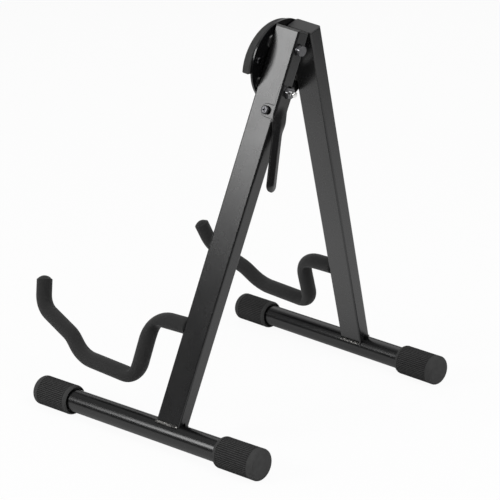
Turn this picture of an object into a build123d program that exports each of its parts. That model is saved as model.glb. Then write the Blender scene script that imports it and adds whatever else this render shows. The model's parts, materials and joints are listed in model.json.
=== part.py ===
from build123d import *
import os
from math import asin, atan, cos, degrees, radians, sin, sqrt, tan

# A folding A-frame guitar stand: two welded legs with padded arms, a lock disc and a squeeze lever.
# Millimetres and degrees. X runs across the stand, +Y to its back, +Z up.
# The right leg stands at +X and carries the lever; the left leg stands at -X and carries the disc.

# Stance
half_angle = 19.3
lean = 9.0
top_gap = 1.8
fold_cap_gap = 0.6

# Legs
leg_length = 437.5
leg_width = 31.75
leg_thickness = 15.9
leg_wall = 1.5
leg_corner = 2.0
plug_flange = 2.0
plug_bolt_gap = 2.6
plug_edge = 0.8
plug_seam = 0.4
plug_clearance = 0.1

# Feet and caps
foot_diameter = 25.4
foot_wall = 1.5
foot_front = 197.5
foot_back = 127.3
cap_diameter = 33.5
cap_length = 55.0
cap_end = 5.0
cap_recess = 0.5
cap_lip = 5.5
cap_band = 8.0
cap_ribs = 48
cap_rib_radius = 0.8
cap_rib_height = 0.45
cap_rounding = 4.0
cap_mouth = 4.2
cap_mouth_rounding = 5.0
cap_mouth_depth = 3.0
cap_floor_flat = 0.4
cap_clearance = 0.05

# Welds between legs and feet
weld_gap = 0.05
weld_radius = 2.8
weld_length = 30.0
notch_height = 6.5
notch_shoulder = 10.0
notch_side = 0.4

# Padded arms, as reach in front of the leg's centre line and height up the leg
rod_diameter = 8.0
foam_diameter = 18.0
arm_root_height = 116.2
arm_drop_reach = 67.0
heel_reach = 65.3
heel_height = 34.9
toe_reach = 149.6
toe_height = 25.8
knee_reach = 174.2
knee_height = 41.2
rise_reach = 230.1
rise_height = 54.4
tip_reach = 239.45
tip_height = 80.8
root_bend = 30.8
heel_bend = 20.8
toe_bend = 45.5
knee_bend = 34.6
rise_bend = 25.9
rod_root_bend = 20.0
rod_heel_bend = 15.0
foam_tip = 3.5
foam_tip_rounding = 1.2
foam_dome = 3.6
foam_clearance = 0.1
foam_leg_gap = 0.3
rod_hole_clearance = 0.1

# Lock disc and bumper
disc_radius = 44.8
disc_thickness = 2.5
disc_drop = 23.3
disc_edge = 0.6
hub_gap = 1.0
bumper_radius = 48.0
bumper_drop = 5.0
bumper_thickness = 9.2
bumper_edge = 2.5
pocket_clearance = 1.2
bumper_screw_across = 36.5
bumper_screw_up = 8.1
bumper_screw_diameter = 4.0
bumper_screw_head = 7.0
bumper_screw_head_height = 2.2
bumper_screw_length = 9.0
bumper_screw_recess = 1.2
bumper_screw_recess_width = 1.0
bumper_screw_recess_length = 3.8
bumper_screw_recess_turn = 35.0

# Pivot
pivot_below_top = 18.6
pivot_diameter = 6.0
pivot_clearance = 0.05
bolt_hex = 10.0
bolt_head = 4.0
hex_crown_diameter = 11.2
thin_nut = 3.2
small_washer_diameter = 12.0
small_washer = 1.6
front_washer = 1.0
large_washer_diameter = 18.0
large_washer = 0.8
axial_clearance = 0.1
bolt_overrun = 0.6
bolt_chamfer = 0.5
thread_clearance = 0.02

# Fixing of the left leg to the disc
fixing_diameter = 6.0
fixing_head_diameter = 10.5
fixing_head = 3.2
fixing_edge = 1.2
rivnut_diameter = 9.0
rivnut_flange_diameter = 18.0
rivnut_length = 12.0
fixing_clearance = 0.05
fixing_end_gap = 1.0

# Lock bolt
lock_below_pivot = 43.0
lock_diameter = 6.0
lock_clearance = 0.05
lock_slot_clearance = 0.3
lock_nut_height = 5.0
lock_nut_gap = 0.3
lock_overrun = 2.4
lock_tip_inset = 0.1
guide_body_diameter = 9.0
guide_flange_diameter = 17.0
guide_flange = 0.8
guide_length = 4.0
clip_diameter = 9.0
clip_thickness = 1.5
clip_gap = 0.3
spring_diameter = 8.2
spring_wire = 0.75
spring_end_gap = 0.2

# Release lever
lever_below_lock = 22.7
lever_from_back = 9.5
lever_sheet = 1.5
lever_side_clearance = 0.3
lever_web_gap = 0.7
lever_ear_radius = 7.0
lever_ear_edge = 0.6
lever_above_lock = 6.0
lever_fork_clearance = 0.5
lever_fork_depth = 4.6
lever_flange = 4.2
lever_bend = 2.5
lever_kink_below_pin = 1.2
lever_angle = 13.5
lever_handle_width = 14.2
lever_handle_corner = 4.0
lever_handle_flange = 2.8
lever_shoulder = 7.5
lever_taper = 8.0
lever_length = 77.0
lever_pin_diameter = 5.0
lever_pin_clearance = 0.05
lever_pin_head = 9.0
lever_pin_head_height = 3.2
lever_pin_edge = 1.4
lever_pin_recess = 1.8
lever_pin_recess_width = 1.2
lever_pin_recess_length = 4.6
lever_pin_recess_turn = 20.0
lever_pin_nut = 8.0
lever_pin_nut_height = 4.0
lever_pin_overrun = 1.0

# Worked out from the sizes above
theta = radians(half_angle)
beta = radians(lean)
foot_pitch = atan(tan(beta) / cos(theta))
axis_height = cap_diameter / 2 - cap_floor_flat
spread = 2 * (leg_length * sin(theta) + leg_thickness / 2 * cos(theta)) + top_gap
pivot_up = leg_length - pivot_below_top
plug_depth = pivot_below_top - plug_flange - pivot_diameter / 2 - plug_bolt_gap
lock_up = pivot_up - lock_below_pivot
pin_up = lock_up - lever_below_lock
pin_back = leg_width / 2 - lever_from_back
front_face = -leg_width / 2
back_face = leg_width / 2
disc_back = front_face - hub_gap
disc_front = disc_back - disc_thickness
pivot_across = spread / 2 - pivot_up * sin(theta)
foot_radius = foot_diameter / 2

# The legs fold until the rubber caps at the back nearly meet
folded_distance = 2 * pivot_across * cos(theta)
fold_radius = pivot_up - foot_back * sin(foot_pitch)
fold_angle = 2 * half_angle - degrees(asin((cap_diameter + fold_cap_gap - folded_distance) / fold_radius))

# Frames: across is X, back runs along the pivot bolt, rise is square to both
across = Vector(1, 0, 0)
back = Vector(0, cos(beta), -sin(beta))
rise = Vector(0, sin(beta), cos(beta))
leg_up = rise * cos(theta) - across * sin(theta)
leg_out = across * cos(theta) + rise * sin(theta)
foot_line = back * cos(foot_pitch) + leg_up * sin(foot_pitch)
leg_origin = Vector(spread / 2, 0, axis_height)
leg_plane = Plane(origin=leg_origin, x_dir=leg_out, z_dir=leg_up)
foot_axis = Plane(origin=(0, 0, 0), x_dir=(1, 0, 0), z_dir=(0, cos(foot_pitch), sin(foot_pitch)))
foot_plane = Plane(origin=leg_origin, x_dir=(0, 0, 1), z_dir=foot_line)
hub_centre = (
    Vector(0, 0, axis_height)
    + rise * (pivot_up * cos(theta) - disc_drop)
    + back * disc_back
)
hub_plane = Plane(origin=hub_centre, x_dir=across, z_dir=-back)


def on_right(shape):
    return leg_plane * shape


def on_left(shape):
    return mirror(on_right(shape), about=Plane.YZ)


def rod_y(radius, start, end, x=0.0, z=0.0):
    middle = (start + end) / 2
    return Pos(x, middle, z) * Rot(90, 0, 0) * Cylinder(radius, abs(end - start))


def rod_x(radius, start, end, y, z):
    middle = (start + end) / 2
    return Pos(middle, y, z) * Rot(0, 90, 0) * Cylinder(radius, abs(end - start))


def ring_y(outer, inner, start, end, x=0.0, z=0.0):
    return rod_y(outer, start, end, x, z) - rod_y(inner, start, end, x, z)


def hex_prism(across_flats, height):
    return extrude(RegularPolygon(across_flats / 2, 6, major_radius=False), height)


def hex_y(across_flats, start, end, z):
    prism = hex_prism(across_flats, abs(end - start))
    return Pos(0, max(start, end), z) * Rot(90, 0, 0) * prism


# Leg tubes
def tube_outline(inset):
    return RectangleRounded(leg_thickness - 2 * inset, leg_width - 2 * inset, leg_corner - inset)


def foot_bar(radius):
    return foot_axis * Cylinder(radius, 4 * leg_width)


def leg_blank():
    tube_top = leg_length - plug_flange
    tube = extrude(tube_outline(0), tube_top) - extrude(tube_outline(leg_wall), tube_top)
    notch_low = foot_radius / 2
    notch_half = leg_thickness / 2 - leg_wall - notch_side
    notch = Polyline(
        (-notch_half, notch_low),
        (notch_half, notch_low),
        (notch_half, notch_shoulder),
        (0, foot_radius + notch_height),
        (-notch_half, notch_shoulder),
        close=True,
    )
    notch = extrude(Plane.XZ * make_face(notch), leg_width, both=True)
    rod_hole = arm_sweep(rod_diameter / 2 + rod_hole_clearance, arm_points(arm_start())[:2], ())
    return tube - foot_bar(foot_radius + weld_gap) - notch - rod_hole


def right_leg_tube():
    tube = leg_blank()
    tube -= rod_y(pivot_diameter / 2 + pivot_clearance, -leg_width, leg_width, 0, pivot_up)
    tube -= rod_y(lock_diameter / 2 + lock_clearance, 0, leg_width, 0, lock_up)
    tube -= rod_y(guide_body_diameter / 2 + lock_clearance, -leg_width, 0, 0, lock_up)
    pin_hole = lever_pin_diameter / 2 + lever_pin_clearance
    tube -= rod_x(pin_hole, -leg_thickness, leg_thickness, pin_back, pin_up)
    return on_right(tube)


def left_leg_tube():
    tube = leg_blank()
    for height in (pivot_up, lock_up):
        tube -= rod_y(rivnut_diameter / 2 + fixing_clearance, -leg_width, 0, 0, height)
    return on_left(tube)


def top_plug():
    flange = Pos(0, 0, leg_length - plug_flange) * extrude(tube_outline(0), plug_flange)
    flange = fillet(flange.faces().sort_by(Axis.Z)[-1].edges(), plug_edge)
    flange = chamfer(flange.faces().sort_by(Axis.Z)[0].edges(), plug_seam)
    body = extrude(tube_outline(leg_wall + plug_clearance), plug_depth)
    return flange + Pos(0, 0, leg_length - plug_flange - plug_depth) * body


# Feet, caps and welds
def foot_tube():
    length = foot_front + foot_back - 2 * cap_end
    tube = Cylinder(foot_radius, length) - Cylinder(foot_radius - foot_wall, length)
    return foot_plane * Pos(0, 0, (foot_back - foot_front) / 2) * tube


def cap_body():
    radius = cap_diameter / 2
    body_radius = radius - cap_recess
    lip_end = cap_lip + cap_recess
    band_start = cap_length - cap_band
    outline = Polyline(
        (0, 0),
        (radius, 0),
        (radius, cap_lip),
        (body_radius, lip_end),
        (body_radius, band_start - cap_recess),
        (radius, band_start),
        (radius, cap_length),
        (0, cap_length),
        close=True,
    )
    face = make_face(outline)
    face = fillet(face.vertices().sort_by(lambda v: v.X + v.Y)[-1], cap_rounding)
    face = fillet(face.vertices().sort_by(lambda v: v.X - v.Y)[-1], cap_mouth_rounding)
    solid = revolve(Plane.XZ * face, Axis.Z)
    rib = Pos(0, 0, cap_lip) * extrude(Circle(cap_rib_radius), band_start - cap_lip)
    solid += PolarLocations(body_radius + cap_rib_height - cap_rib_radius, cap_ribs) * rib
    bore_depth = cap_length - cap_end
    solid -= Pos(0, 0, bore_depth / 2) * Cylinder(foot_radius + cap_clearance, bore_depth)
    mouth_radius = foot_radius + cap_mouth / 2
    solid -= Pos(0, 0, cap_mouth_depth / 2) * Cylinder(mouth_radius, cap_mouth_depth)
    floor_cut = Box(cap_diameter, cap_diameter, 2 * cap_length)
    return solid - Pos(-axis_height - cap_diameter / 2, 0, cap_length / 2) * floor_cut


def back_cap():
    return foot_plane * Pos(0, 0, foot_back - cap_length) * cap_body()


def front_cap():
    front_plane = Plane(origin=leg_origin, x_dir=(0, 0, 1), z_dir=-foot_line)
    return front_plane * Pos(0, 0, foot_front - cap_length) * cap_body()


def leg_welds():
    side = leg_thickness / 2
    seat = sqrt(foot_radius**2 - side**2)
    beads = []
    for sign in (-1, 1):
        bead_place = Pos(sign * (side + weld_radius / 4), -seat, 0)
        bead = foot_axis * bead_place * Cylinder(weld_radius, weld_length)
        bead -= foot_bar(foot_radius)
        bead -= Box(leg_thickness, 4 * leg_width, 4 * leg_width)
        beads.append(max(bead.solids(), key=lambda part: part.volume))
    return Compound(children=beads)


# Padded arms
def arm_start():
    return leg_width / 2 - leg_wall - foam_leg_gap


def arm_points(start):
    slope = tan(foot_pitch)
    return [
        (start, arm_root_height + start * slope),
        (-arm_drop_reach, arm_root_height - arm_drop_reach * slope),
        (-heel_reach, heel_height),
        (-toe_reach, toe_height),
        (-knee_reach, knee_height),
        (-rise_reach, rise_height),
        (-tip_reach, tip_height),
    ]


# A bend too wide for the straight runs beside it is tightened until they hold it and the rounded tip
def held_bends(places, radii):
    reaches = [0]
    for index, radius in enumerate(radii, start=1):
        before = places[index - 1] - places[index]
        after = places[index + 1] - places[index]
        reaches.append(radius / tan(radians(before.get_angle(after)) / 2))
    reaches.append(0)
    shares = []
    for index in range(len(radii) + 1):
        run = (places[index + 1] - places[index]).length - 2 * foam_tip_rounding
        shares.append(run / max(run, reaches[index] + reaches[index + 1]))
    return [radius * min(pair) for radius, pair in zip(radii, zip(shares, shares[1:]))]


def rounded_path(points, radii):
    places = [Vector(0, y, z) for y, z in points]
    edges = []
    here = places[0]
    for index, radius in enumerate(held_bends(places, radii), start=1):
        before = (places[index - 1] - places[index]).normalized()
        after = (places[index + 1] - places[index]).normalized()
        half_turn = radians(before.get_angle(after)) / 2
        reach = radius / tan(half_turn)
        enter = places[index] + before * reach
        leave = places[index] + after * reach
        inward = (before + after).normalized()
        middle = places[index] + inward * (radius / sin(half_turn) - radius)
        edges.append(Line(here, enter))
        edges.append(ThreePointArc(enter, middle, leave))
        here = leave
    edges.append(Line(here, places[-1]))
    return edges


def arm_sweep(radius, points, radii):
    path = Wire(rounded_path(points, radii))
    section = Plane(origin=path @ 0, z_dir=path % 0) * Circle(radius)
    return sweep(section, path=path)


def rod_sweep(radius):
    bends = (rod_root_bend, rod_heel_bend, toe_bend, knee_bend, rise_bend)
    return arm_sweep(radius, arm_points(arm_start()), bends)


# The foam folds to a sharp crease on the inner side of its two tight bends
def creased_sleeve(radius, points):
    sleeve = arm_sweep(radius, points, (root_bend, heel_bend))
    corners = Polyline([(0, y, z) for y, z in points])
    section = Plane(origin=corners @ 0, z_dir=corners % 0) * Circle(radius)
    return sleeve & sweep(section, path=corners, transition=Transition.RIGHT)


def foam_end(radius, tip, direction):
    dome_base = radius - foam_tip_rounding
    dome_radius = (dome_base**2 + foam_dome**2) / (2 * foam_dome)
    dome = Pos(0, 0, foam_dome - dome_radius) * Sphere(dome_radius)
    dome &= Pos(0, 0, dome_radius) * Box(4 * dome_radius, 4 * dome_radius, 2 * dome_radius)
    return Plane(origin=tip, z_dir=direction) * dome


def arm_foam():
    radius = foam_diameter / 2
    points = arm_points(0)
    direction = (Vector(0, *points[-1]) - Vector(0, *points[-2])).normalized()
    tip = Vector(0, *points[-1]) + direction * foam_tip
    points[-1] = (tip.Y, tip.Z)
    middle = ((points[2][0] + points[3][0]) / 2, (points[2][1] + points[3][1]) / 2)
    outer = arm_sweep(radius, [middle] + points[3:], (toe_bend, knee_bend, rise_bend))
    tip_edge = outer.edges().filter_by(lambda e: e.is_closed).sort_by_distance(tip)[0]
    foam = creased_sleeve(radius, points[:3] + [middle]) + fillet(tip_edge, foam_tip_rounding)
    foam += foam_end(radius, tip, direction)
    leg_side = Box(leg_width, leg_width, 2 * arm_root_height)
    foam -= Pos(0, front_face - foam_leg_gap + leg_width / 2, arm_root_height) * leg_side
    return foam - rod_sweep(rod_diameter / 2 + foam_clearance)


# Lock disc and bumper, in the disc's own plane: x across, y up the lean, z to the front
right_pivot = (pivot_across, disc_drop)
left_pivot = (-pivot_across, disc_drop)
left_lock = (
    -pivot_across - lock_below_pivot * sin(theta),
    disc_drop - lock_below_pivot * cos(theta),
)
bumper_screw_places = [
    (-bumper_screw_across, bumper_screw_up),
    (bumper_screw_across, bumper_screw_up),
]


def lock_disc():
    outline = Circle(disc_radius)
    outline -= Pos(*right_pivot) * Circle(pivot_diameter / 2 + pivot_clearance)
    slot_start = half_angle - 90 + degrees(lock_slot_clearance / 2 / lock_below_pivot)
    slot_turn = fold_angle + degrees(lock_slot_clearance / lock_below_pivot)
    track = CenterArc(right_pivot, lock_below_pivot, slot_start, -slot_turn)
    outline -= SlotArc(track, lock_diameter + 2 * lock_slot_clearance)
    for place in (left_pivot, left_lock):
        outline -= Pos(*place) * Circle(fixing_diameter / 2 + fixing_clearance)
    for place in bumper_screw_places:
        outline -= Pos(*place) * Circle(bumper_screw_diameter / 2 + fixing_clearance)
    disc = extrude(outline, disc_thickness)
    rims = disc.edges().filter_by(GeomType.CIRCLE).group_by(SortBy.RADIUS)[-1]
    return hub_plane * chamfer(rims, disc_edge)


def guitar_bumper():
    half_moon = Pos(0, -bumper_drop) * Circle(bumper_radius)
    half_moon -= Pos(0, -bumper_drop - bumper_radius) * Rectangle(4 * bumper_radius, 2 * bumper_radius)
    pad = extrude(half_moon, bumper_thickness)
    pad = fillet(pad.faces().sort_by(Axis.Z)[-1].edges(), bumper_edge)
    nut_room = front_washer + thin_nut + bolt_overrun + 2 * axial_clearance + pocket_clearance
    nut_radius = small_washer_diameter / 2 + pocket_clearance
    pad -= Pos(*right_pivot, nut_room / 2) * Cylinder(nut_radius, nut_room)
    head_room = fixing_head + pocket_clearance
    head_radius = fixing_head_diameter / 2 + pocket_clearance
    pad -= Pos(*left_pivot, head_room / 2) * Cylinder(head_radius, head_room)
    screw_depth = bumper_screw_length - disc_thickness + pocket_clearance / 2
    for place in bumper_screw_places:
        screw_hole = Cylinder(bumper_screw_diameter / 2 + fixing_clearance, screw_depth)
        pad -= Pos(*place, screw_depth / 2) * screw_hole
    return hub_plane * Pos(0, 0, disc_thickness) * pad


def bumper_screws():
    screws = []
    for place in bumper_screw_places:
        head = Cylinder(bumper_screw_head / 2, bumper_screw_head_height)
        head = Pos(0, 0, -bumper_screw_head_height / 2) * head
        head = fillet(head.faces().sort_by(Axis.Z)[0].edges(), bumper_screw_head_height / 2)
        for turn in (0, 90):
            bar = Box(bumper_screw_recess_length, bumper_screw_recess_width, 2 * bumper_screw_recess)
            head -= Pos(0, 0, -bumper_screw_head_height) * Rot(0, 0, turn + bumper_screw_recess_turn) * bar
        shank = Cylinder(bumper_screw_diameter / 2, bumper_screw_length)
        shank = Pos(0, 0, bumper_screw_length / 2) * shank
        screws.append(hub_plane * Pos(*place) * (head + shank))
    return Compound(children=screws)


# Fixing of the left leg to the disc
def disc_rivnuts():
    rivnuts = []
    for height in (pivot_up, lock_up):
        flange = rod_y(rivnut_flange_diameter / 2, disc_back, front_face, 0, height)
        body = rod_y(rivnut_diameter / 2, front_face, front_face + rivnut_length, 0, height)
        bore_radius = fixing_diameter / 2 + fixing_clearance
        bore = rod_y(bore_radius, disc_back, front_face + rivnut_length, 0, height)
        rivnuts.append(on_left(flange + body - bore))
    return Compound(children=rivnuts)


def disc_fixing_screws():
    screws = []
    for height in (pivot_up, lock_up):
        head = rod_y(fixing_head_diameter / 2, disc_front - fixing_head, disc_front, 0, height)
        head = fillet(head.faces().sort_by(Axis.Y)[0].edges(), fixing_edge)
        shank_end = front_face + rivnut_length - fixing_end_gap
        shank = rod_y(fixing_diameter / 2, disc_front, shank_end, 0, height)
        screws.append(on_left(head + shank))
    return Compound(children=screws)


# Pivot bolt and its washers and nut, in the right leg's own frame
head_seat = back_face + small_washer
nut_seat = disc_front - front_washer - 2 * axial_clearance
bolt_tip = nut_seat - thin_nut - bolt_overrun


def pivot_bolt():
    head = hex_y(bolt_hex, head_seat, head_seat + bolt_head, pivot_up)
    shank = rod_y(pivot_diameter / 2, bolt_tip, head_seat, 0, pivot_up)
    shank = chamfer(shank.faces().sort_by(Axis.Y)[0].edges(), bolt_chamfer)
    crown = rod_y(hex_crown_diameter / 2, head_seat, head_seat + bolt_head, 0, pivot_up)
    crown = chamfer(crown.faces().sort_by(Axis.Y)[-1].edges(), bolt_chamfer)
    return on_right((head & crown) + shank)


def pivot_washer(diameter, start, end):
    washer = ring_y(diameter / 2, pivot_diameter / 2 + pivot_clearance, start, end, 0, pivot_up)
    return on_right(washer)


def hex_nut(start, end, height, bolt_diameter):
    nut = hex_y(bolt_hex, start, end, height)
    crown = rod_y(hex_crown_diameter / 2, start, end, 0, height)
    crown = chamfer(crown.edges().filter_by(GeomType.CIRCLE), bolt_chamfer)
    return (nut & crown) - rod_y(bolt_diameter / 2 + thread_clearance, start, end, 0, height)


# Lock bolt with its guide, clip, spring and nut
web_front = back_face + lever_web_gap
web_back = web_front + lever_sheet
lock_tip = disc_front + lock_tip_inset
lock_nut_start = web_back + lock_nut_gap
clip_start = front_face + guide_length + clip_gap


def lock_bolt():
    end = lock_nut_start + lock_nut_height + lock_overrun
    bolt = rod_y(lock_diameter / 2, lock_tip, end, 0, lock_up)
    return on_right(chamfer(bolt.edges().filter_by(GeomType.CIRCLE), bolt_chamfer))


def lock_guide():
    start = front_face - guide_flange
    guide = rod_y(guide_flange_diameter / 2, start, front_face, 0, lock_up)
    guide += rod_y(guide_body_diameter / 2, front_face, front_face + guide_length, 0, lock_up)
    bore = rod_y(lock_diameter / 2 + lock_clearance, start, front_face + guide_length, 0, lock_up)
    return on_right(guide - bore)


def lock_clip():
    end = clip_start + clip_thickness
    return on_right(ring_y(clip_diameter / 2, lock_diameter / 2, clip_start, end, 0, lock_up))


def lock_spring():
    start = clip_start + clip_thickness + spring_end_gap
    end = back_face - leg_wall - spring_end_gap
    inner = spring_diameter / 2 - spring_wire
    return on_right(ring_y(spring_diameter / 2, inner, start, end, 0, lock_up))


# Release lever: a pressed channel with two ears, a forked top and a rounded handle
ear_inner = leg_thickness / 2 + lever_side_clearance
ear_outer = ear_inner + lever_sheet
lever_top = lock_up + lever_above_lock
kink_up = pin_up - lever_kink_below_pin
handle_turn = radians(lever_angle)
handle_plane = Plane(
    origin=(0, web_back, kink_up),
    x_dir=(1, 0, 0),
    z_dir=(0, sin(handle_turn), -cos(handle_turn)),
)

mitre_plane = Plane(
    origin=(0, web_back, kink_up),
    x_dir=(1, 0, 0),
    z_dir=(0, -sin(handle_turn / 2), cos(handle_turn / 2)),
)


def channel_section(half_width, corner, inset):
    depth = leg_width
    width = 2 * (half_width - inset)
    section = Pos(0, depth / 2 + inset) * Rectangle(width, depth)
    return fillet(section.vertices().group_by(Axis.Y)[0], corner - inset)


def lever_body(inset):
    saddle = channel_section(ear_outer, lever_bend, inset)
    handle = channel_section(lever_handle_width / 2, lever_handle_corner, inset)
    above_kink = mitre_plane * Pos(0, 0, lever_length) * Box(lever_length, lever_length, 2 * lever_length)
    upper_plane = Plane(origin=(0, web_back, kink_up), x_dir=(-1, 0, 0), z_dir=(0, 0, 1))
    upper = extrude(saddle, lever_top - kink_up + lever_shoulder)
    upper = upper_plane * Pos(0, 0, -lever_shoulder) * upper & above_kink
    lower = Pos(0, 0, -lever_shoulder) * extrude(saddle, 2 * lever_shoulder)
    lower = handle_plane * lower - above_kink
    taper_end = lever_shoulder + lever_taper
    taper = loft([Pos(0, 0, lever_shoulder) * saddle, Pos(0, 0, taper_end) * handle])
    end_centre = lever_length - lever_handle_width / 2
    grip = Pos(0, 0, taper_end) * extrude(handle, end_centre - taper_end)
    right_half = handle & Pos(leg_width, 0) * Rectangle(2 * leg_width, 8 * leg_width)
    spoon = Pos(0, 0, end_centre) * revolve(right_half, Axis.Y, -180)
    return upper + lower + handle_plane * (taper + grip + spoon)


def lever_side_outline():
    ear = Pos(pin_back, pin_up) * Circle(lever_ear_radius)
    ear += Pos(pin_back + leg_width / 2, pin_up) * Rectangle(leg_width, 2 * lever_ear_radius)
    upper_height = lever_top - kink_up
    upper = Rectangle(leg_width, upper_height)
    upper_front = web_back - lever_flange
    ear += Pos(upper_front + leg_width / 2, kink_up + upper_height / 2) * upper
    strip = Rectangle(2 * leg_width, 2 * lever_length)
    handle_face = Rot(0, 0, lever_angle) * Pos(leg_width - lever_handle_flange, 0) * strip
    handle_face = Pos(web_back, kink_up) * handle_face
    below = Pos(0, kink_up - lever_length) * Rectangle(8 * leg_width, 2 * lever_length)
    return ear + (handle_face & below)


# Each ear is rounded outside along its arc, its two straights and the flange above them
def ear_rims(lever):
    faces = lever.faces().filter_by(Axis.X).sort_by(Axis.X)
    rim_back = web_back - lever_flange + lever_ear_edge / 2
    rims = []
    for face in (faces[0], faces[-1]):
        rims += [edge for edge in face.edges() if edge.center().Y < rim_back]
    return rims


def release_lever():
    lever = lever_body(0) - lever_body(lever_sheet)
    side = extrude(Plane.YZ * lever_side_outline(), leg_width, both=True)
    lever = lever & side
    lever = fillet(ear_rims(lever), lever_ear_edge)
    fork_half = lock_diameter / 2 + lever_fork_clearance
    fork_height = lever_above_lock + lever_fork_depth + lever_sheet
    fork_low = lever_top + lever_sheet - fork_height
    fork_root = fork_low + fork_half / 2
    fork = Box(2 * fork_half, leg_width, fork_height)
    fork = Pos(0, web_back, fork_root + fork_height / 2) * fork
    fork += rod_y(fork_half, web_back - leg_width / 2, web_back + leg_width / 2, 0, fork_root)
    lever -= fork
    pin_hole = lever_pin_diameter / 2 + lever_pin_clearance
    lever -= rod_x(pin_hole, -leg_thickness, leg_thickness, pin_back, pin_up)
    return on_right(lever)


# Lever screw, across the leg
head_face = ear_outer + lever_side_clearance
nut_face = -head_face


def lever_screw():
    shank_end = nut_face - lever_pin_nut_height - lever_pin_overrun
    shank = rod_x(lever_pin_diameter / 2, shank_end, head_face, pin_back, pin_up)
    head = rod_x(lever_pin_head / 2, head_face, head_face + lever_pin_head_height, pin_back, pin_up)
    head = fillet(head.faces().sort_by(Axis.X)[-1].edges(), lever_pin_edge)
    recess_place = Pos(head_face + lever_pin_head_height, pin_back, pin_up)
    for turn in (0, 90):
        bar = Box(2 * lever_pin_recess, lever_pin_recess_length, lever_pin_recess_width)
        head -= recess_place * Rot(turn + lever_pin_recess_turn, 0, 0) * bar
    return on_right(head + shank)


def lever_nut():
    prism = hex_prism(lever_pin_nut, lever_pin_nut_height)
    nut = Pos(nut_face - lever_pin_nut_height, pin_back, pin_up) * Rot(0, 90, 0) * prism
    bore_radius = lever_pin_diameter / 2 + thread_clearance
    bore = rod_x(bore_radius, nut_face - lever_pin_nut_height, nut_face, pin_back, pin_up)
    return on_right(nut - bore)


# All pieces by name; the legs' own pieces come in mirrored pairs
def pair(name, right):
    return {"right_" + name: right, "left_" + name: mirror(right, about=Plane.YZ)}


nodes = {"right_leg_tube": right_leg_tube(), "left_leg_tube": left_leg_tube()}
nodes.update(pair("top_plug", on_right(top_plug())))
nodes.update(pair("leg_welds", on_right(leg_welds())))
nodes.update(pair("arm_rod", on_right(rod_sweep(rod_diameter / 2))))
nodes.update(pair("arm_foam", on_right(arm_foam())))
nodes.update(pair("foot_tube", foot_tube()))
nodes.update(pair("front_cap", front_cap()))
nodes.update(pair("back_cap", back_cap()))
nodes["lock_disc"] = lock_disc()
nodes["guitar_bumper"] = guitar_bumper()
nodes["bumper_screws"] = bumper_screws()
nodes["disc_rivnuts"] = disc_rivnuts()
nodes["disc_fixing_screws"] = disc_fixing_screws()
nodes["pivot_bolt"] = pivot_bolt()
nodes["pivot_head_washer"] = pivot_washer(small_washer_diameter, back_face, head_seat)
nodes["pivot_spacer_washer"] = pivot_washer(
    large_washer_diameter, front_face - axial_clearance - large_washer, front_face - axial_clearance
)
nodes["pivot_front_washer"] = pivot_washer(
    small_washer_diameter, nut_seat, nut_seat + front_washer
)
nodes["pivot_nut"] = on_right(hex_nut(nut_seat - thin_nut, nut_seat, pivot_up, pivot_diameter))
nodes["lock_bolt"] = lock_bolt()
nodes["lock_guide"] = lock_guide()
nodes["lock_clip"] = lock_clip()
nodes["lock_spring"] = lock_spring()
nodes["lock_nut"] = on_right(
    hex_nut(lock_nut_start, lock_nut_start + lock_nut_height, lock_up, lock_diameter)
)
nodes["release_lever"] = release_lever()
nodes["lever_screw"] = lever_screw()
nodes["lever_nut"] = lever_nut()

# The origin is on the floor, under the middle of the whole stand
boxes = [shape.bounding_box() for shape in nodes.values()]
front_end = min(box.min.Y for box in boxes)
back_end = max(box.max.Y for box in boxes)
to_origin = Pos(0, -(front_end + back_end) / 2, 0)

os.makedirs("parts", exist_ok=True)
for name, shape in nodes.items():
    export_step(to_origin * shape, "parts/" + name + ".step")

print("shift to the origin", -(front_end + back_end) / 2)
print("lowest point", min(box.min.Z for box in boxes), "highest", max(box.max.Z for box in boxes))
print("sides", min(box.min.X for box in boxes), max(box.max.X for box in boxes))
print("fold angle", fold_angle)
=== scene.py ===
import json
import math
import bmesh
import bpy
from mathutils import Matrix, Vector


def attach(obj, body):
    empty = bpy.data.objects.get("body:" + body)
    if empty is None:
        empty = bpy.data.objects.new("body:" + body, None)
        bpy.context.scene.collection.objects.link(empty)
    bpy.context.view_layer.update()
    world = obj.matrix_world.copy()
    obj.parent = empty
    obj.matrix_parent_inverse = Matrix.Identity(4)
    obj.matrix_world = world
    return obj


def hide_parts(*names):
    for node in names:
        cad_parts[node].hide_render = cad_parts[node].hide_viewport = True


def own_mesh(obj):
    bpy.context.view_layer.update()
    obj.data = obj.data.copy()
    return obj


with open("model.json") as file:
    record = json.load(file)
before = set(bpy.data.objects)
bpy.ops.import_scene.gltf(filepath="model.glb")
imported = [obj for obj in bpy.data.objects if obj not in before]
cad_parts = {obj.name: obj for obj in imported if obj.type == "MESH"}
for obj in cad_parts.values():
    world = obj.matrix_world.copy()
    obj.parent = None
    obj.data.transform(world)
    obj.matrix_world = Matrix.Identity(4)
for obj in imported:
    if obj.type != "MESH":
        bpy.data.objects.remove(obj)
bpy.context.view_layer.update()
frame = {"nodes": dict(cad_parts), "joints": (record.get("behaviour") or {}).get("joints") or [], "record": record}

mm = 0.001
mergeMm = 0.001  # vertices closer than this become one
upright = Vector((0, 0, 1))


def hexLinear(code):
    channels = [int(code[i:i + 2], 16) / 255 for i in (1, 3, 5)]
    return [c / 12.92 if c <= 0.04045 else ((c + 0.055) / 1.055) ** 2.4 for c in channels] + [1.0]


# a soft step from 0 at low to 1 at high
def eased(low, high, value):
    share = min(1.0, max(0.0, (value - low) / (high - low)))
    return share * share * (3 - 2 * share)


def addNode(tree, kind, settings=None, inputs=None):
    node = tree.nodes.new(kind)
    for key, value in (settings or {}).items():
        setattr(node, key, value)
    for key, value in (inputs or {}).items():
        if isinstance(value, bpy.types.NodeSocket):
            tree.links.new(value, node.inputs[key])
        else:
            node.inputs[key].default_value = value
    return node


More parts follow.
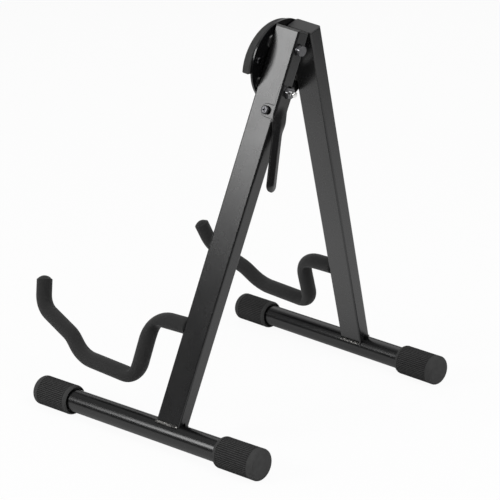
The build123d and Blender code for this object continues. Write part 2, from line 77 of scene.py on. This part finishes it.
def newMaterial(name):
    material = bpy.data.materials.new(name)
    material.use_nodes = True
    tree = material.node_tree
    tree.nodes.clear()
    place = addNode(tree, "ShaderNodeTexCoord").outputs["Object"]
    shader = addNode(tree, "ShaderNodeBsdfPrincipled")
    addNode(tree, "ShaderNodeOutputMaterial", inputs={"Surface": shader.outputs[0]})
    return material, tree, place, shader


# the legs' own directions, read from the joints: back runs along the pivot, out leaves the right leg
joints = {joint["name"]: joint for joint in frame["joints"]}
legBack = -Vector(joints["leg_fold"]["axis"]).normalized()
legOut = -Vector(joints["lever_squeeze"]["axis"]).normalized()
legUp = legOut.cross(legBack)
stance = {"footCentre": (153.003, 53.027, 16.35)}  # where the right leg's line meets its foot's, in mm
legPlace = Matrix.Translation(Vector(stance["footCentre"]) * mm)
rightLeg = legPlace @ Matrix((legOut, legBack, legUp)).transposed().to_4x4()
legs = {"right": rightLeg, "left": Matrix.Diagonal((-1, 1, 1, 1)) @ rightLeg}  # mirror images


# takes a shape in mm in a leg's frame and makes it a piece in metres in the stand's frame
def finishPiece(name, shape, place, body, slotName, node=None, finish=None):
    bmesh.ops.remove_doubles(shape, verts=shape.verts, dist=mergeMm)
    shape.transform(place @ Matrix.Scale(mm, 4))
    shape.normal_update()
    bmesh.ops.recalc_face_normals(shape, faces=shape.faces)
    mesh = bpy.data.meshes.new(name)
    shape.to_mesh(mesh)
    shape.free()
    piece = bpy.data.objects.new(name, mesh)
    bpy.context.scene.collection.objects.link(piece)
    mesh.materials.append(finish or finishes[slotName])
    for polygon in mesh.polygons:
        polygon.use_smooth = True
    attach(piece, body)
    if node:
        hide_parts(node)
    return piece


# powder coat on welded tube: baked epoxy-polyester, satin, with a faint orange peel
def powderCoat():
    look = {"colour": "#0f0f10", "ior": 1.56, "smooth": 0.23, "rough": 0.31, "cloudMm": 25.0,
            "peelMm": 1.6, "peelDepth": 0.02, "peelStrength": 0.15}
    material, tree, place, shader = newMaterial("satin powder coat")
    peel = addNode(tree, "ShaderNodeTexNoise", inputs={
        "Vector": place, "Scale": 1 / (look["peelMm"] * mm), "Detail": 2.0})
    cloud = addNode(tree, "ShaderNodeTexNoise", inputs={
        "Vector": place, "Scale": 1 / (look["cloudMm"] * mm), "Detail": 3.0})
    rough = addNode(tree, "ShaderNodeMapRange", inputs={
        "Value": cloud.outputs[0], "To Min": look["smooth"], "To Max": look["rough"]})
    bump = addNode(tree, "ShaderNodeBump", inputs={
        "Height": peel.outputs[0], "Strength": look["peelStrength"], "Distance": look["peelDepth"] * mm})
    shader.inputs["Base Color"].default_value = hexLinear(look["colour"])
    shader.inputs["IOR"].default_value = look["ior"]
    tree.links.new(rough.outputs[0], shader.inputs["Roughness"])
    tree.links.new(bump.outputs[0], shader.inputs["Normal"])
    return material


# stoved enamel on the round foot tubes: smoother and glossier than the powder coat
def glossEnamel():
    look = {"colour": "#0c0c0d", "smooth": 0.19, "rough": 0.28, "waveMm": 9.0}
    material, tree, place, shader = newMaterial("gloss stoving enamel")
    wave = addNode(tree, "ShaderNodeTexNoise", inputs={
        "Vector": place, "Scale": 1 / (look["waveMm"] * mm), "Detail": 2.0})
    rough = addNode(tree, "ShaderNodeMapRange", inputs={
        "Value": wave.outputs[0], "To Min": look["smooth"], "To Max": look["rough"]})
    shader.inputs["Base Color"].default_value = hexLinear(look["colour"])
    tree.links.new(rough.outputs[0], shader.inputs["Roughness"])
    return material


# zinc plating on bolts, nuts and washers: a white metal with a cloudy sheen, shinier where it is paler
def zincPlate(name, light, dark):
    look = {"light": light, "dark": dark, "dull": 0.34, "shiny": 0.22, "cloudMm": 2.5}
    material, tree, place, shader = newMaterial(name)
    cloud = addNode(tree, "ShaderNodeTexNoise", inputs={
        "Vector": place, "Scale": 1 / (look["cloudMm"] * mm), "Detail": 4.0})
    tone = addNode(tree, "ShaderNodeMix", {"data_type": "RGBA"}, {
        "Factor": cloud.outputs[0], "A": hexLinear(look["dark"]), "B": hexLinear(look["light"])})
    rough = addNode(tree, "ShaderNodeMapRange", inputs={
        "Value": cloud.outputs[0], "To Min": look["dull"], "To Max": look["shiny"]})
    tree.links.new(tone.outputs["Result"], shader.inputs["Base Color"])
    tree.links.new(rough.outputs[0], shader.inputs["Roughness"])
    shader.inputs["Metallic"].default_value = 1.0
    return material


# black zinc plating with a chromate film: a dark metal, half shiny, lighter and darker in soft clouds
def blackZinc(name, light, dark):
    look = {"light": light, "dark": dark, "roughness": 0.30, "cloudMm": 2.0}
    material, tree, place, shader = newMaterial(name)
    cloud = addNode(tree, "ShaderNodeTexNoise", inputs={
        "Vector": place, "Scale": 1 / (look["cloudMm"] * mm), "Detail": 3.0})
    tone = addNode(tree, "ShaderNodeMix", {"data_type": "RGBA"}, {
        "Factor": cloud.outputs[0], "A": hexLinear(look["dark"]), "B": hexLinear(look["light"])})
    tree.links.new(tone.outputs["Result"], shader.inputs["Base Color"])
    shader.inputs["Roughness"].default_value = look["roughness"]
    shader.inputs["Metallic"].default_value = 1.0
    return material


# nitrile foam, extruded: dull, with a soft nap and an open grain, drawn coarse so that it shows
def nitrileFoam():
    look = {"light": "#212121", "dark": "#151515", "roughness": 0.95, "grainMm": 2.0, "nap": 0.15,
            "cellMm": 0.9, "cellDepth": 0.15, "cellStrength": 0.35}
    material, tree, place, shader = newMaterial("nitrile foam")
    cells = addNode(tree, "ShaderNodeTexVoronoi", inputs={
        "Vector": place, "Scale": 1 / (look["cellMm"] * mm)})
    grain = addNode(tree, "ShaderNodeTexNoise", inputs={
        "Vector": place, "Scale": 1 / (look["grainMm"] * mm), "Detail": 3.0})
    tone = addNode(tree, "ShaderNodeMix", {"data_type": "RGBA"}, {
        "Factor": grain.outputs[0], "A": hexLinear(look["dark"]), "B": hexLinear(look["light"])})
    bump = addNode(tree, "ShaderNodeBump", inputs={
        "Height": cells.outputs[0], "Strength": look["cellStrength"], "Distance": look["cellDepth"] * mm})
    tree.links.new(tone.outputs["Result"], shader.inputs["Base Color"])
    tree.links.new(bump.outputs[0], shader.inputs["Normal"])
    shader.inputs["Roughness"].default_value = look["roughness"]
    shader.inputs["Sheen Weight"].default_value = look["nap"]
    return material


# moulded rubber: dull black with a grey bloom, with painted shade that darkens it down in its grooves
def mouldedRubber():
    look = {"light": "#474747", "dark": "#393939", "roughness": 0.8, "gloss": 0.15, "bloomMm": 6.0,
            "grainMm": 0.5, "grainDepth": 0.08, "grainStrength": 0.2,
            "grooveShade": "#050505", "grooveMm": 1.6, "grooveContrast": 7.0}
    material, tree, place, shader = newMaterial("moulded rubber")
    bloom = addNode(tree, "ShaderNodeTexNoise", inputs={
        "Vector": place, "Scale": 1 / (look["bloomMm"] * mm), "Detail": 5.0})
    grain = addNode(tree, "ShaderNodeTexNoise", inputs={
        "Vector": place, "Scale": 1 / (look["grainMm"] * mm), "Detail": 2.0})
    tone = addNode(tree, "ShaderNodeMix", {"data_type": "RGBA"}, {
        "Factor": bloom.outputs[0], "A": hexLinear(look["dark"]), "B": hexLinear(look["light"])})
    bump = addNode(tree, "ShaderNodeBump", inputs={
        "Height": grain.outputs[0], "Strength": look["grainStrength"], "Distance": look["grainDepth"] * mm})
    # painted shade: the colour goes to near black where the rubber is closed in, down in its grooves
    clear = addNode(tree, "ShaderNodeAmbientOcclusion", {"only_local": True}, {
        "Distance": look["grooveMm"] * mm})
    grooveLit = addNode(tree, "ShaderNodeMath", {"operation": "POWER"}, {
        0: clear.outputs["AO"], 1: look["grooveContrast"]})
    shade = addNode(tree, "ShaderNodeMix", {"data_type": "RGBA"}, {
        "Factor": grooveLit.outputs[0], "A": hexLinear(look["grooveShade"]), "B": tone.outputs["Result"]})
    tree.links.new(shade.outputs["Result"], shader.inputs["Base Color"])
    tree.links.new(bump.outputs[0], shader.inputs["Normal"])
    shader.inputs["Roughness"].default_value = look["roughness"]
    shader.inputs["Specular IOR Level"].default_value = look["gloss"]
    return material


# moulded polyethylene plugs: grey-black with a fine spark-eroded texture
def plugPlastic():
    look = {"light": "#3f3f3f", "dark": "#303030", "roughness": 0.48,
            "grainMm": 0.7, "grainDepth": 0.1, "grainStrength": 0.25}
    material, tree, place, shader = newMaterial("moulded polyethylene")
    grain = addNode(tree, "ShaderNodeTexNoise", inputs={
        "Vector": place, "Scale": 1 / (look["grainMm"] * mm), "Detail": 3.0})
    tone = addNode(tree, "ShaderNodeMix", {"data_type": "RGBA"}, {
        "Factor": grain.outputs[0], "A": hexLinear(look["dark"]), "B": hexLinear(look["light"])})
    bump = addNode(tree, "ShaderNodeBump", inputs={
        "Height": grain.outputs[0], "Strength": look["grainStrength"], "Distance": look["grainDepth"] * mm})
    tree.links.new(tone.outputs["Result"], shader.inputs["Base Color"])
    tree.links.new(bump.outputs[0], shader.inputs["Normal"])
    shader.inputs["Roughness"].default_value = look["roughness"]
    return material


# powder coat, thin over the crests of a weld: black, with flecks of bare steel that show through
def weldCoat():
    look = {"paint": "#141415", "steel": "#c4c2be", "roughness": 0.34,
            "fleckMm": 1.4, "fleckEdge": 0.5, "fleckMiddle": 0.56}
    material, tree, place, shader = newMaterial("thin coat on weld")
    flecks = addNode(tree, "ShaderNodeTexNoise", inputs={
        "Vector": place, "Scale": 1 / (look["fleckMm"] * mm), "Detail": 3.0})
    bare = addNode(tree, "ShaderNodeMapRange", inputs={
        "Value": flecks.outputs[0], "From Min": look["fleckEdge"], "From Max": look["fleckMiddle"]})
    tone = addNode(tree, "ShaderNodeMix", {"data_type": "RGBA"}, {
        "Factor": bare.outputs[0], "A": hexLinear(look["paint"]), "B": hexLinear(look["steel"])})
    tree.links.new(tone.outputs["Result"], shader.inputs["Base Color"])
    tree.links.new(bare.outputs[0], shader.inputs["Metallic"])
    shader.inputs["Roughness"].default_value = look["roughness"]
    return material


thinCoat = weldCoat()
finishes = {
    "satin_black_paint": powderCoat(),
    "gloss_black_paint": glossEnamel(),
    "zinc_plated_steel": zincPlate("bright zinc plating", "#c9c9c6", "#9b9b99"),
    "black_zinc_steel": blackZinc("black zinc plating", "#565658", "#3a3a3c"),
    "black_foam": nitrileFoam(),
    "black_rubber": mouldedRubber(),
    "black_plastic": plugPlastic(),
}
# painted light: a lighter copy of the black zinc plating, which makes the pivot bolt and lock nut brighter than
# their lighting gives
paintedLightBlackZinc = blackZinc("black zinc plating painted lighter", "#8a8a8c", "#5c5c5e")
# painted light: a near-white copy of the zinc plating, for bright glints on the lock bolt, its end and the pivot's
# spacer washer
paintedBrightZinc = zincPlate("zinc plating painted brighter", "#fafaf8", "#ececea")
special = {  # solids that take a painted-light copy of their slot's finish, lighter than the rest
    "pivot_bolt": paintedLightBlackZinc,
    "lock_nut": paintedLightBlackZinc,
    "lock_bolt": paintedBrightZinc,
    "pivot_spacer_washer": paintedBrightZinc,
}
for subpart in frame["record"]["subparts"]:
    solid = frame["nodes"][subpart["node"]].data
    solid.materials.clear()
    solid.materials.append(special.get(subpart["node"], finishes[subpart["material_slot"]]))
print("finishes on the solids:", len(finishes))


# foam sleeves, in the leg's own frame in mm: y to the back and z up the leg
sleeve = {"radius": 9.0, "sides": 48, "step": 2.5, "bendStep": 4.0, "legFace": -16.175,
          "rootHeight": 116.2, "rootRun": 67.0, "slope": 0.16782,
          "flat": 3.5, "rim": 1.2, "rimTurns": (30, 60, 90), "dome": 3.6, "domeRings": 8}
rootDrop = sleeve["rootRun"] * sleeve["slope"]
bends = [
    {"corner": (-sleeve["rootRun"], sleeve["rootHeight"] - rootDrop), "radius": 30.8, "crease": 4.5},
    {"corner": (-65.3, 34.9), "radius": 20.8, "crease": 2.0},
    {"corner": (-149.6, 25.8), "radius": 45.5, "crease": None},
    {"corner": (-174.2, 41.2), "radius": 34.6, "crease": None},
    {"corner": (-230.1, 54.4), "radius": 25.9, "crease": None},
]
sleeveTip = (-239.45, 80.8)


# pushes the inner side of a tight bend in, to a crease with a round bottom that runs out softly
def pinch(verts, centre, inward, bend, halfTurn):
    inner = bend["radius"] - sleeve["radius"]
    nose = (inner - bend["crease"]) / math.cos(halfTurn)
    for vert in verts:
        arm = vert.co - centre
        arm.x = 0
        angle = arm.angle(-inward)
        cross = nose * math.sin(angle)
        wall = inner / math.cos(max(0.0, halfTurn - angle))
        if cross < bend["crease"] * math.sin(halfTurn):
            wall = nose * math.cos(angle) + math.sqrt(bend["crease"] ** 2 - cross ** 2)
        side = eased(0.0, sleeve["radius"], bend["radius"] - arm.length)
        vert.co += arm * (max(wall, inner) / inner - 1) * side


def extrudeRing(shape, ring, move):
    made = bmesh.ops.extrude_edge_only(shape, edges=ring)["geom"]
    verts = [item for item in made if isinstance(item, bmesh.types.BMVert)]
    bmesh.ops.translate(shape, verts=verts, vec=move)
    return [item for item in made if isinstance(item, bmesh.types.BMEdge) and len(item.link_faces) == 1]


def straightRun(shape, ring, start, end):
    count = max(1, round((end - start).length / sleeve["step"]))
    for _ in range(count):
        ring = extrudeRing(shape, ring, (end - start) / count)
    return ring


def ringVerts(ring):
    return list(dict.fromkeys(vert for edge in ring for vert in edge.verts))


# radius and height of each ring over the sleeve's rounded rim and domed end
def endRings():
    base = sleeve["radius"] - sleeve["rim"]
    ball = (base ** 2 + sleeve["dome"] ** 2) / (2 * sleeve["dome"])
    rings = []
    for degrees in sleeve["rimTurns"]:
        turn = math.radians(degrees)
        rings.append((base + sleeve["rim"] * math.cos(turn), sleeve["rim"] * (math.sin(turn) - 1)))
    for i in range(1, sleeve["domeRings"] + 1):
        size = base * (1 - i / sleeve["domeRings"])
        rings.append((size, math.sqrt(ball ** 2 - size ** 2) - ball + sleeve["dome"]))
    return rings


def foamSleeve():
    corners = [Vector((0, *bend["corner"])) for bend in bends] + [Vector((0, *sleeveTip))]
    here = Vector((0, 0, sleeve["rootHeight"]))
    heading = (corners[0] - here).normalized()
    shape = bmesh.new()
    turn = upright.rotation_difference(heading).to_matrix().to_4x4()
    bmesh.ops.create_circle(shape, segments=sleeve["sides"], radius=sleeve["radius"],
                            matrix=Matrix.Translation(here) @ turn)
    ring = list(shape.edges)
    for bend, corner, after in zip(bends, corners, corners[1:]):
        leaving = (after - corner).normalized()
        halfTurn = heading.angle(leaving) / 2
        tangent = bend["radius"] * math.tan(halfTurn)
        ring = straightRun(shape, ring, here, corner - heading * tangent)
        inward = (leaving - heading).normalized()
        centre = corner + inward * bend["radius"] / math.cos(halfTurn)
        before = set(shape.verts)
        steps = round(math.degrees(2 * halfTurn) / sleeve["bendStep"])
        spun = bmesh.ops.spin(shape, geom=ring + ringVerts(ring), cent=centre, axis=heading.cross(leaving),
                              angle=2 * halfTurn, steps=steps, use_duplicate=False)
        ring = [item for item in spun["geom_last"] if isinstance(item, bmesh.types.BMEdge)]
        if bend["crease"]:
            pinch([vert for vert in shape.verts if vert not in before], centre, inward, bend, halfTurn)
        here, heading = corner + leaving * tangent, leaving
    tip = corners[-1] + heading * sleeve["flat"]
    ring = straightRun(shape, ring, here, tip - heading * sleeve["rim"])
    for size, lift in endRings():
        ring = extrudeRing(shape, ring, (0, 0, 0))
        for vert in ringVerts(ring):
            spoke = vert.co - tip
            spoke -= heading * spoke.dot(heading)
            vert.co = tip + heading * lift + spoke.normalized() * size
    cut = bmesh.ops.bisect_plane(shape, geom=shape.verts[:] + shape.edges[:] + shape.faces[:],
                                 plane_co=(0, sleeve["legFace"], 0), plane_no=(0, 1, 0), clear_outer=True)
    edges = [item for item in cut["geom_cut"] if isinstance(item, bmesh.types.BMEdge)]
    bmesh.ops.holes_fill(shape, edges=edges, sides=0)
    return shape


for side, leg in legs.items():
    foam = finishPiece(side + "_foam_sleeve", foamSleeve(), leg, side + "_frame", "black_foam",
                       node=side + "_arm_foam")
print("foam sleeves made")

# weld beads: overlapping ripples laid along the foot on both sides of each leg, thinner at their ends
bead = {"radius": 2.0, "sides": 24, "length": 32.0, "ripples": 13, "perRipple": 8, "depth": 0.45,
        "off": 8.6, "seat": 10.4, "pitch": 9.527, "backwards": 0.8, "endSize": 0.55, "endSwell": 5.0}


def weldBeads():
    shape = bmesh.new()
    pitch = math.radians(bead["pitch"])
    along = Vector((0, math.cos(pitch), math.sin(pitch)))
    over = Vector((0, -along.z, along.y))
    turn = upright.rotation_difference(along).to_matrix().to_4x4()
    count = bead["ripples"] * bead["perRipple"]
    for sign in (-1, 1):
        centre = Vector((sign * bead["off"], 0, 0)) + over * bead["seat"]
        start = centre + along * (bead["backwards"] - bead["length"] / 2)
        made = bmesh.ops.create_circle(shape, segments=bead["sides"], radius=bead["radius"],
                                       matrix=Matrix.Translation(start) @ turn, cap_ends=True)["verts"]
        ring = list(dict.fromkeys(edge for vert in made for edge in vert.link_edges))
        for i in range(count + 1):
            share = i / count
            ripple = 1 - bead["depth"] * (1 - (i / bead["perRipple"]) % 1) ** 2
            ends = min(1.0, bead["endSize"] + bead["endSwell"] * min(share, 1 - share))
            size = bead["radius"] * ripple * ends
            for vert in ringVerts(ring):
                spoke = vert.co - start - along * (vert.co - start).dot(along)
                vert.co = start + along * share * bead["length"] + spoke.normalized() * size
            if i < count:
                ring = extrudeRing(shape, ring, (0, 0, 0))
        bmesh.ops.holes_fill(shape, edges=ring, sides=0)
    return shape


for side, leg in legs.items():
    finishPiece(side + "_weld_beads", weldBeads(), leg, side + "_frame", "satin_black_paint",
                node=side + "_leg_welds", finish=thinCoat)
print("weld beads made")

# lock spring: a coil of round wire from the clip to the leg's back wall
lockHeight = 375.9  # the lock bolt's line, up the leg
spring = {"front": -9.875, "back": 14.175, "outer": 8.2, "wire": 0.75, "coils": 7,
          "wireSides": 10, "stepsPerCoil": 28, "travel": 3.8, "spare": 0.1}
springLength = spring["back"] - spring["front"]


def lockSpring():
    shape = bmesh.new()
    middle = Vector((0, 0, lockHeight))
    wireRadius = spring["wire"] / 2
    steps = spring["coils"] * spring["stepsPerCoil"]
    rise = (springLength - spring["wire"]) / steps
    start = middle + Vector((spring["outer"] / 2 - wireRadius, spring["front"] + wireRadius, 0))
    bmesh.ops.create_circle(shape, segments=spring["wireSides"], radius=wireRadius,
                            matrix=Matrix.Translation(start))
    bmesh.ops.spin(shape, geom=shape.verts[:] + shape.edges[:], cent=middle, axis=(0, 1, 0),
                   dvec=(0, rise, 0), angle=math.tau * spring["coils"], steps=steps, use_duplicate=False)
    bmesh.ops.holes_fill(shape, edges=[edge for edge in shape.edges if edge.is_boundary], sides=0)
    return shape


coil = finishPiece("lock_spring_coil", lockSpring(), rightLeg, "right_frame", "zinc_plated_steel",
                   node="lock_spring")
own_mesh(coil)
print("lock spring made")

# lock bolt's end: from where the solid's end tapers it stands further out of the nut, with a rounded rim
boltEnd = {"start": 25.275, "reach": 3.2, "radius": 3.0, "rim": 0.6, "rimSteps": 3, "sides": 32}


def lockBoltEnd():
    shape = bmesh.new()
    middle = Vector((0, boltEnd["start"] + boltEnd["reach"] / 2, lockHeight))
    turn = Matrix.Rotation(math.radians(-90), 4, "X")
    bmesh.ops.create_cone(shape, cap_ends=True, segments=boltEnd["sides"], radius1=boltEnd["radius"],
                          radius2=boltEnd["radius"], depth=boltEnd["reach"],
                          matrix=Matrix.Translation(middle) @ turn)
    rim = [edge for edge in shape.edges if min(vert.co.y for vert in edge.verts) > middle.y]
    bmesh.ops.bevel(shape, geom=rim, offset=boltEnd["rim"], segments=boltEnd["rimSteps"], profile=0.5,
                    affect="EDGES", material=-1)
    return shape


# the bolt's end takes the near-white zinc copy: painted light, for its glint
finishPiece("lock_bolt_end", lockBoltEnd(), rightLeg, "lock", "zinc_plated_steel", finish=paintedBrightZinc)
print("lock bolt's end made")

# lever crown: the pressed back of the lever, ridged along the handle and bent in a sweep, over its channel
# lengths run down the lever's back from its kink, and half widths are across it
crown = {"kinkBack": 18.075, "kinkUp": 352.0, "angle": 13.5, "bendRun": 9.0,
         "top": -11.0, "full": 5.0, "shoulderEnd": 6.0, "handleStart": 20.0, "length": 77.2,
         "topHalf": 7.2, "shoulderHalf": 9.75, "handleHalf": 7.2,
         "rise": 1.1, "shoulderDrop": 1.3, "handleDrop": 2.3, "ridge": 0.15, "sink": 0.02, "sheet": 0.6,
         "across": 24, "along": 60, "round": 12, "lastTurn": 84.0}
crownCentre = crown["length"] - crown["handleHalf"]  # of the handle's round end


# a point of the lever's back line and the direction straight out of it
def crownLine(along):
    angle = math.radians(crown["angle"])
    run = crown["bendRun"]
    turn = angle * min(1.0, max(0.0, (along / run + 1) / 2))
    point = Vector((0, 0, -along))
    if along > run:
        point = Vector((0, math.sin(angle), -math.cos(angle))) * along
    elif along > -run:
        radius = run / math.tan(angle / 2)
        point = Vector((0, radius * (1 - math.cos(turn)), run - radius * math.sin(turn)))
    kink = Vector((0, crown["kinkBack"], crown["kinkUp"]))
    return kink + point, Vector((0, math.cos(turn), math.sin(turn)))


# a point of the crown's back: share runs from -1 to 1 across it
def crownPoint(share, along):
    grown = eased(crown["top"], crown["full"], along)
    narrowed = eased(crown["shoulderEnd"], crown["handleStart"], along)
    half = crown["topHalf"] + (crown["shoulderHalf"] - crown["topHalf"]) * grown
    half += (crown["handleHalf"] - crown["shoulderHalf"]) * narrowed
    drop = crown["shoulderDrop"] + (crown["handleDrop"] - crown["shoulderDrop"]) * narrowed
    past = max(0.0, along - crownCentre) / crown["handleHalf"]
    share *= math.sqrt(max(0.0, 1 - past ** 2))
    ridge = crown["ridge"]
    fall = (math.hypot(share, past, ridge) - ridge) / (math.hypot(1, ridge) - ridge)
    lift = grown * (crown["rise"] - drop * fall) - crown["sink"] * (1 - grown)
    point, outward = crownLine(along)
    return point + Vector((share * half, 0, 0)) + outward * lift


def leverCrown():
    shape = bmesh.new()
    rows = crown["along"] + crown["round"]
    bmesh.ops.create_grid(shape, x_segments=crown["across"], y_segments=rows, size=1.0)
    for vert in shape.verts:
        row = round((vert.co.y + 1) / 2 * rows)
        along = crown["top"] + (crownCentre - crown["top"]) * row / crown["along"]
        if row > crown["along"]:
            turn = math.radians(crown["lastTurn"]) * (row - crown["along"]) / crown["round"]
            along = crownCentre + crown["handleHalf"] * math.sin(turn)
        vert.co = crownPoint(vert.co.x, along)
    shape.normal_update()
    facing = 1 if sum(face.normal.y for face in shape.faces) > 0 else -1
    bmesh.ops.solidify(shape, geom=shape.faces[:], thickness=facing * crown["sheet"])
    return shape


finishPiece("lever_crown", leverCrown(), rightLeg, "lever", "satin_black_paint")
print("lever crown made")

# camera at the photograph's place, 500 x 500
camera = {"place": (1.04830, 1.06606, 0.66821), "azimuth": 134.541, "elevation": 18.622,
          "roll": -2.937, "lens": 102.30}
az, el, roll = (math.radians(camera[key]) for key in ("azimuth", "elevation", "roll"))
sight = Vector((-math.sin(az) * math.cos(el), math.cos(az) * math.cos(el), -math.sin(el)))
level = sight.cross(upright).normalized()
over = level.cross(sight)
sideways = level * math.cos(roll) + over * math.sin(roll)
upwards = over * math.cos(roll) - level * math.sin(roll)
cameraData = bpy.data.cameras.new("camera")
cameraData.lens = camera["lens"]
cameraObject = bpy.data.objects.new("camera", cameraData)
bpy.context.scene.collection.objects.link(cameraObject)
cameraObject.matrix_world = Matrix.Translation(camera["place"]) @ Matrix(
    (sideways, upwards, -sight)).transposed().to_4x4()
bpy.context.scene.camera = cameraObject

# soft studio light: softboxes in front to the right, front left, above and behind
studio = [
    {"name": "key", "place": (1.80, -1.02, 1.19), "size": (0.9, 0.78), "watts": 20.0,
     "aim": (0.15, 0.05, 0.25)},
    {"name": "rim", "place": (-1.6, -1.5, 1.6), "size": (1.6, 1.6), "watts": 5.2, "aim": (0, 0, 0.2)},
    {"name": "top", "place": (0.5, -0.3, 2.2), "size": (1.6, 1.6), "watts": 3.2, "aim": (0, 0, 0)},
    {"name": "back", "place": (0.2, 1.9, 1.9), "size": (1.4, 1.4), "watts": 30.0, "aim": (0, 0, 0.1)},
]
for lamp in studio:
    lampData = bpy.data.lights.new(lamp["name"], "AREA")
    lampData.shape = "RECTANGLE"
    lampData.size, lampData.size_y = lamp["size"]
    lampData.energy = lamp["watts"]
    lampObject = bpy.data.objects.new(lamp["name"], lampData)
    bpy.context.scene.collection.objects.link(lampObject)
    lampObject.location = lamp["place"]
    toStand = Vector(lamp["aim"]) - Vector(lamp["place"])
    lampObject.rotation_euler = toStand.to_track_quat("-Z", "Y").to_euler()

# surroundings: white to the eye; as light they are dim at the horizon and paler overhead
sky = {"colour": "#ffffff", "seen": 1.0, "horizon": 0.05, "zenith": 0.5}
world = bpy.data.worlds.new("studio")
bpy.context.scene.world = world
world.use_nodes = True
tree = world.node_tree
height = addNode(tree, "ShaderNodeSeparateXYZ", inputs={
    "Vector": addNode(tree, "ShaderNodeTexCoord").outputs["Generated"]})
light = addNode(tree, "ShaderNodeMapRange", inputs={
    "Value": height.outputs["Z"], "To Min": sky["horizon"], "To Max": sky["zenith"]})
eye = addNode(tree, "ShaderNodeMath", {"operation": "MULTIPLY"}, {
    0: addNode(tree, "ShaderNodeLightPath").outputs["Is Camera Ray"], 1: sky["seen"]})
strength = addNode(tree, "ShaderNodeMath", {"operation": "MAXIMUM"}, {
    0: light.outputs[0], 1: eye.outputs[0]})
tree.links.new(strength.outputs[0], tree.nodes["Background"].inputs["Strength"])
tree.nodes["Background"].inputs["Color"].default_value = hexLinear(sky["colour"])

# pale floor: white to the eye; in reflections its glow carries painted shade, fading far out and darker under the
# feet
floor = {"half": 8.0, "white": 0.94, "paint": "#efefef", "glow": "#ffffff",
         "near": 0.45, "far": 1.8, "farShare": 0.06, "underMm": 120.0}
floorMaterial = bpy.data.materials.new("pale floor")
floorMaterial.use_nodes = True
tree = floorMaterial.node_tree
tree.nodes.clear()
rays = addNode(tree, "ShaderNodeLightPath")
seen = addNode(tree, "ShaderNodeMath", {"operation": "MAXIMUM"}, {
    0: rays.outputs["Is Camera Ray"], 1: rays.outputs["Is Glossy Ray"]})
seen = addNode(tree, "ShaderNodeMath", {"operation": "MAXIMUM"}, {
    0: seen.outputs[0], 1: rays.outputs["Is Transmission Ray"]})
share = addNode(tree, "ShaderNodeMath", {"operation": "MULTIPLY"}, {
    0: seen.outputs[0], 1: floor["white"]})
matt = addNode(tree, "ShaderNodeBsdfDiffuse", inputs={"Color": hexLinear(floor["paint"])})
# painted shade: the glow seen in reflections fades with distance from the stand and dims under the feet, where the
# floor is closed in
away = addNode(tree, "ShaderNodeVectorMath", {"operation": "LENGTH"}, {
    0: addNode(tree, "ShaderNodeTexCoord").outputs["Object"]})
fall = addNode(tree, "ShaderNodeMapRange", {"interpolation_type": "SMOOTHSTEP"}, {
    "Value": away.outputs["Value"], "From Min": floor["near"], "From Max": floor["far"],
    "To Min": 1.0, "To Max": floor["farShare"]})
under = addNode(tree, "ShaderNodeAmbientOcclusion", inputs={"Distance": floor["underMm"] * mm})
mirrored = addNode(tree, "ShaderNodeMath", {"operation": "MULTIPLY"}, {
    0: fall.outputs[0], 1: under.outputs["AO"]})
bright = addNode(tree, "ShaderNodeMath", {"operation": "MAXIMUM"}, {
    0: mirrored.outputs[0], 1: rays.outputs["Is Camera Ray"]})
glow = addNode(tree, "ShaderNodeEmission", inputs={
    "Color": hexLinear(floor["glow"]), "Strength": bright.outputs[0]})
both = addNode(tree, "ShaderNodeMixShader", inputs={
    0: share.outputs[0], 1: matt.outputs[0], 2: glow.outputs[0]})
addNode(tree, "ShaderNodeOutputMaterial", inputs={"Surface": both.outputs[0]})
plane = bmesh.new()
bmesh.ops.create_grid(plane, x_segments=1, y_segments=1, size=floor["half"])
floorMesh = bpy.data.meshes.new("floor")
plane.to_mesh(floorMesh)
plane.free()
floorObject = bpy.data.objects.new("floor", floorMesh)
bpy.context.scene.collection.objects.link(floorObject)
floorMesh.materials.append(floorMaterial)
bpy.context.scene.view_settings.view_transform = "Standard"
print("camera, lamps and floor set")
